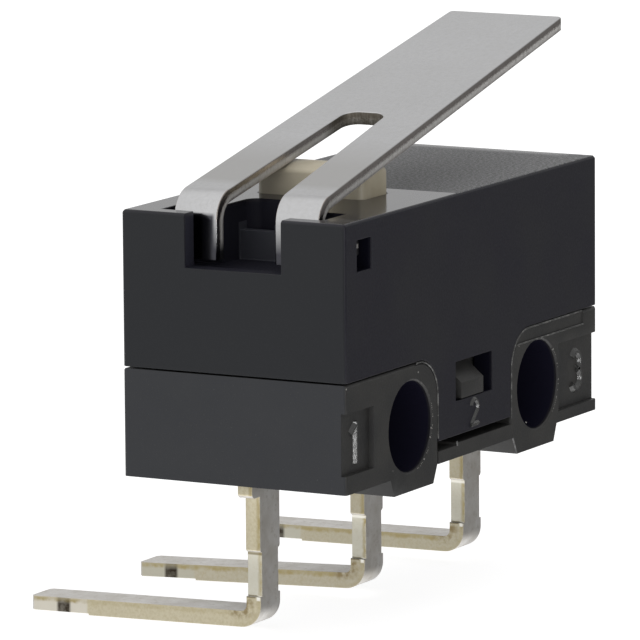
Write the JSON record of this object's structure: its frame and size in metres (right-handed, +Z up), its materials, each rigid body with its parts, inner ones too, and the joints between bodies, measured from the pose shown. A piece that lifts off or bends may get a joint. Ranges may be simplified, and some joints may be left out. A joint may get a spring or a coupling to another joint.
{
  "type": "lever micro switch",
  "caption": "Ultra-small snap-action switch with a hinge lever over a plunger, a two-part black housing with cross mounting holes, and sideways bent solder legs.",
  "frame": {"origin": "midway between the two mounting holes, on their centre line and at half the housing's width", "axes": "+X runs along the switch from the lever's hinge end, +Y is the side that the solder legs are bent to, +Z is up towards the lever"},
  "size_m": [0.0138, 0.0089, 0.0131],
  "materials": {
    "base_plastic": "fine moulded black, slightly glossy on edges",
    "cover_plastic": "fine moulded black, smooth near the plunger",
    "lever_steel": "satin stainless sheet",
    "plunger_plastic": "cream moulded plastic",
    "blade_alloy": "spring copper alloy strip",
    "contact_silver": "bright silver alloy",
    "terminal_plating": "silver plated faces with brass cut edges"
  },
  "bodies": {
    "housing": {"base": "base_plastic", "cover": "cover_plastic", "common_terminal": "terminal_plating", "normally_open_terminal": "terminal_plating", "normally_closed_terminal": "terminal_plating", "normally_open_contact": "contact_silver", "normally_closed_contact": "contact_silver"},
    "lever": {"hinge_lever": "lever_steel"},
    "plunger": {"plunger": "plunger_plastic"},
    "blade": {"moving_blade": "blade_alloy", "moving_contact": "contact_silver"}
  },
  "joints": [
    {"name": "lever_hinge", "type": "hinge", "parent": "housing", "child": "lever", "pos_m": [-0.00561, 0, 0.00445], "axis": [0, 1, 0], "range_deg": [0, 9.5], "stiffness_Nm_per_rad": 0.02, "springref_deg": -8.59},
    {"name": "plunger_slide", "type": "slide", "parent": "housing", "child": "plunger", "axis": [0, 0, -1], "range_m": [0, 0.0006]},
    {"name": "blade_rock", "type": "hinge", "parent": "housing", "child": "blade", "pos_m": [-0.00525, 0, 0.00285], "axis": [0, 1, 0], "range_deg": [0, 3.15]}
  ],
  "couplings": [
    {"joint": "plunger_slide", "follows": "lever_hinge", "m_per_rad": 0.003465},
    {"joint": "blade_rock", "follows": "lever_hinge", "ratio": 0.3293}
  ]
}
